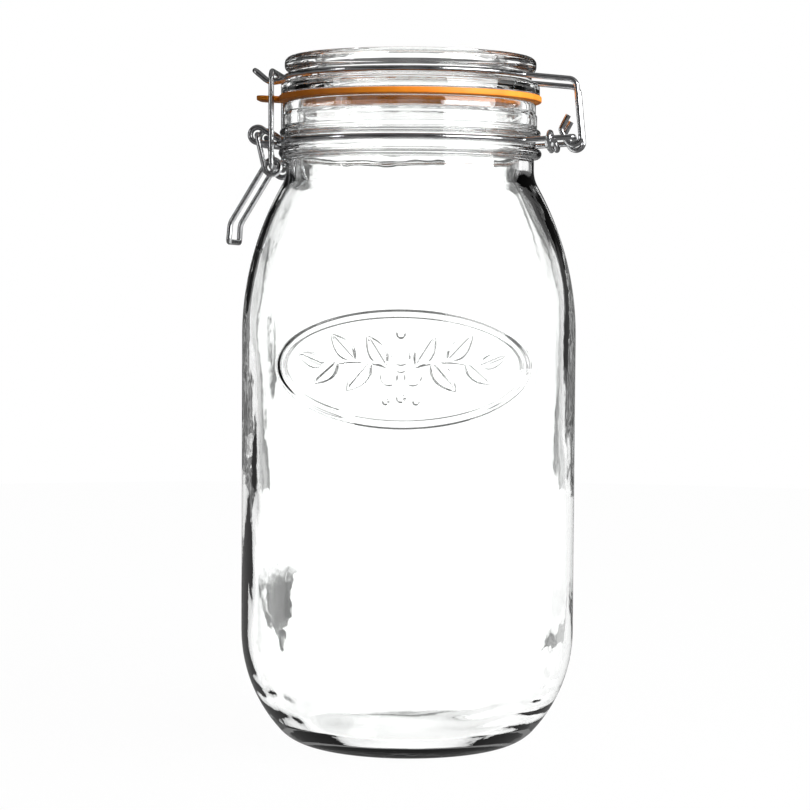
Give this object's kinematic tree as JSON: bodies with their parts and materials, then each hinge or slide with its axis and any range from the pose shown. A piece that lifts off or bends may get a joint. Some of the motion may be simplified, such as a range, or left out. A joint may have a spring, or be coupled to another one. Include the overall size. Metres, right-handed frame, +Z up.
{
  "type": "clip-top preserving jar",
  "caption": "Empty clip-top preserving jar, about 2 litres: clear glass body and hinged glass lid, orange rubber ring, bent steel wire hinge and clip.",
  "frame": {"origin": "on the jar's axis, in the flat face of the foot ring that it stands on", "axes": "+Z up along the jar's axis, +X towards the lid's hinge; the clip is on the -X side"},
  "size_m": [0.1301, 0.1231, 0.2507],
  "materials": {
    "glass": "polished",
    "rubber": "matte",
    "wire": "polished"
  },
  "bodies": {
    "jar": {"jar_glass": "glass", "neck_wire": "wire", "hinge_tie": "wire"},
    "lid": {"lid_glass": "glass", "rubber_ring": "rubber", "lid_wire": "wire"},
    "lever": {"clip_lever": "wire"},
    "link": {"clip_link": "wire"}
  },
  "joints": [
    {"name": "lid_hinge", "type": "hinge", "parent": "jar", "child": "lid", "pos_m": [0.0602, 0, 0.22105], "axis": [0, 1, 0], "range_deg": [0, 205]},
    {"name": "lever_swing", "type": "hinge", "parent": "jar", "child": "lever", "pos_m": [-0.0547, 0, 0.22225], "axis": [0, 1, 0], "range_deg": [0, 150]},
    {"name": "link_swing", "type": "hinge", "parent": "lever", "child": "link", "pos_m": [-0.0491, 0, 0.21055], "axis": [0, -1, 0], "range_deg": [0, 330]}
  ],
  "couplings": [
    {"joint": "link_swing", "follows": "lever_swing", "ratio": 2.2}
  ]
}
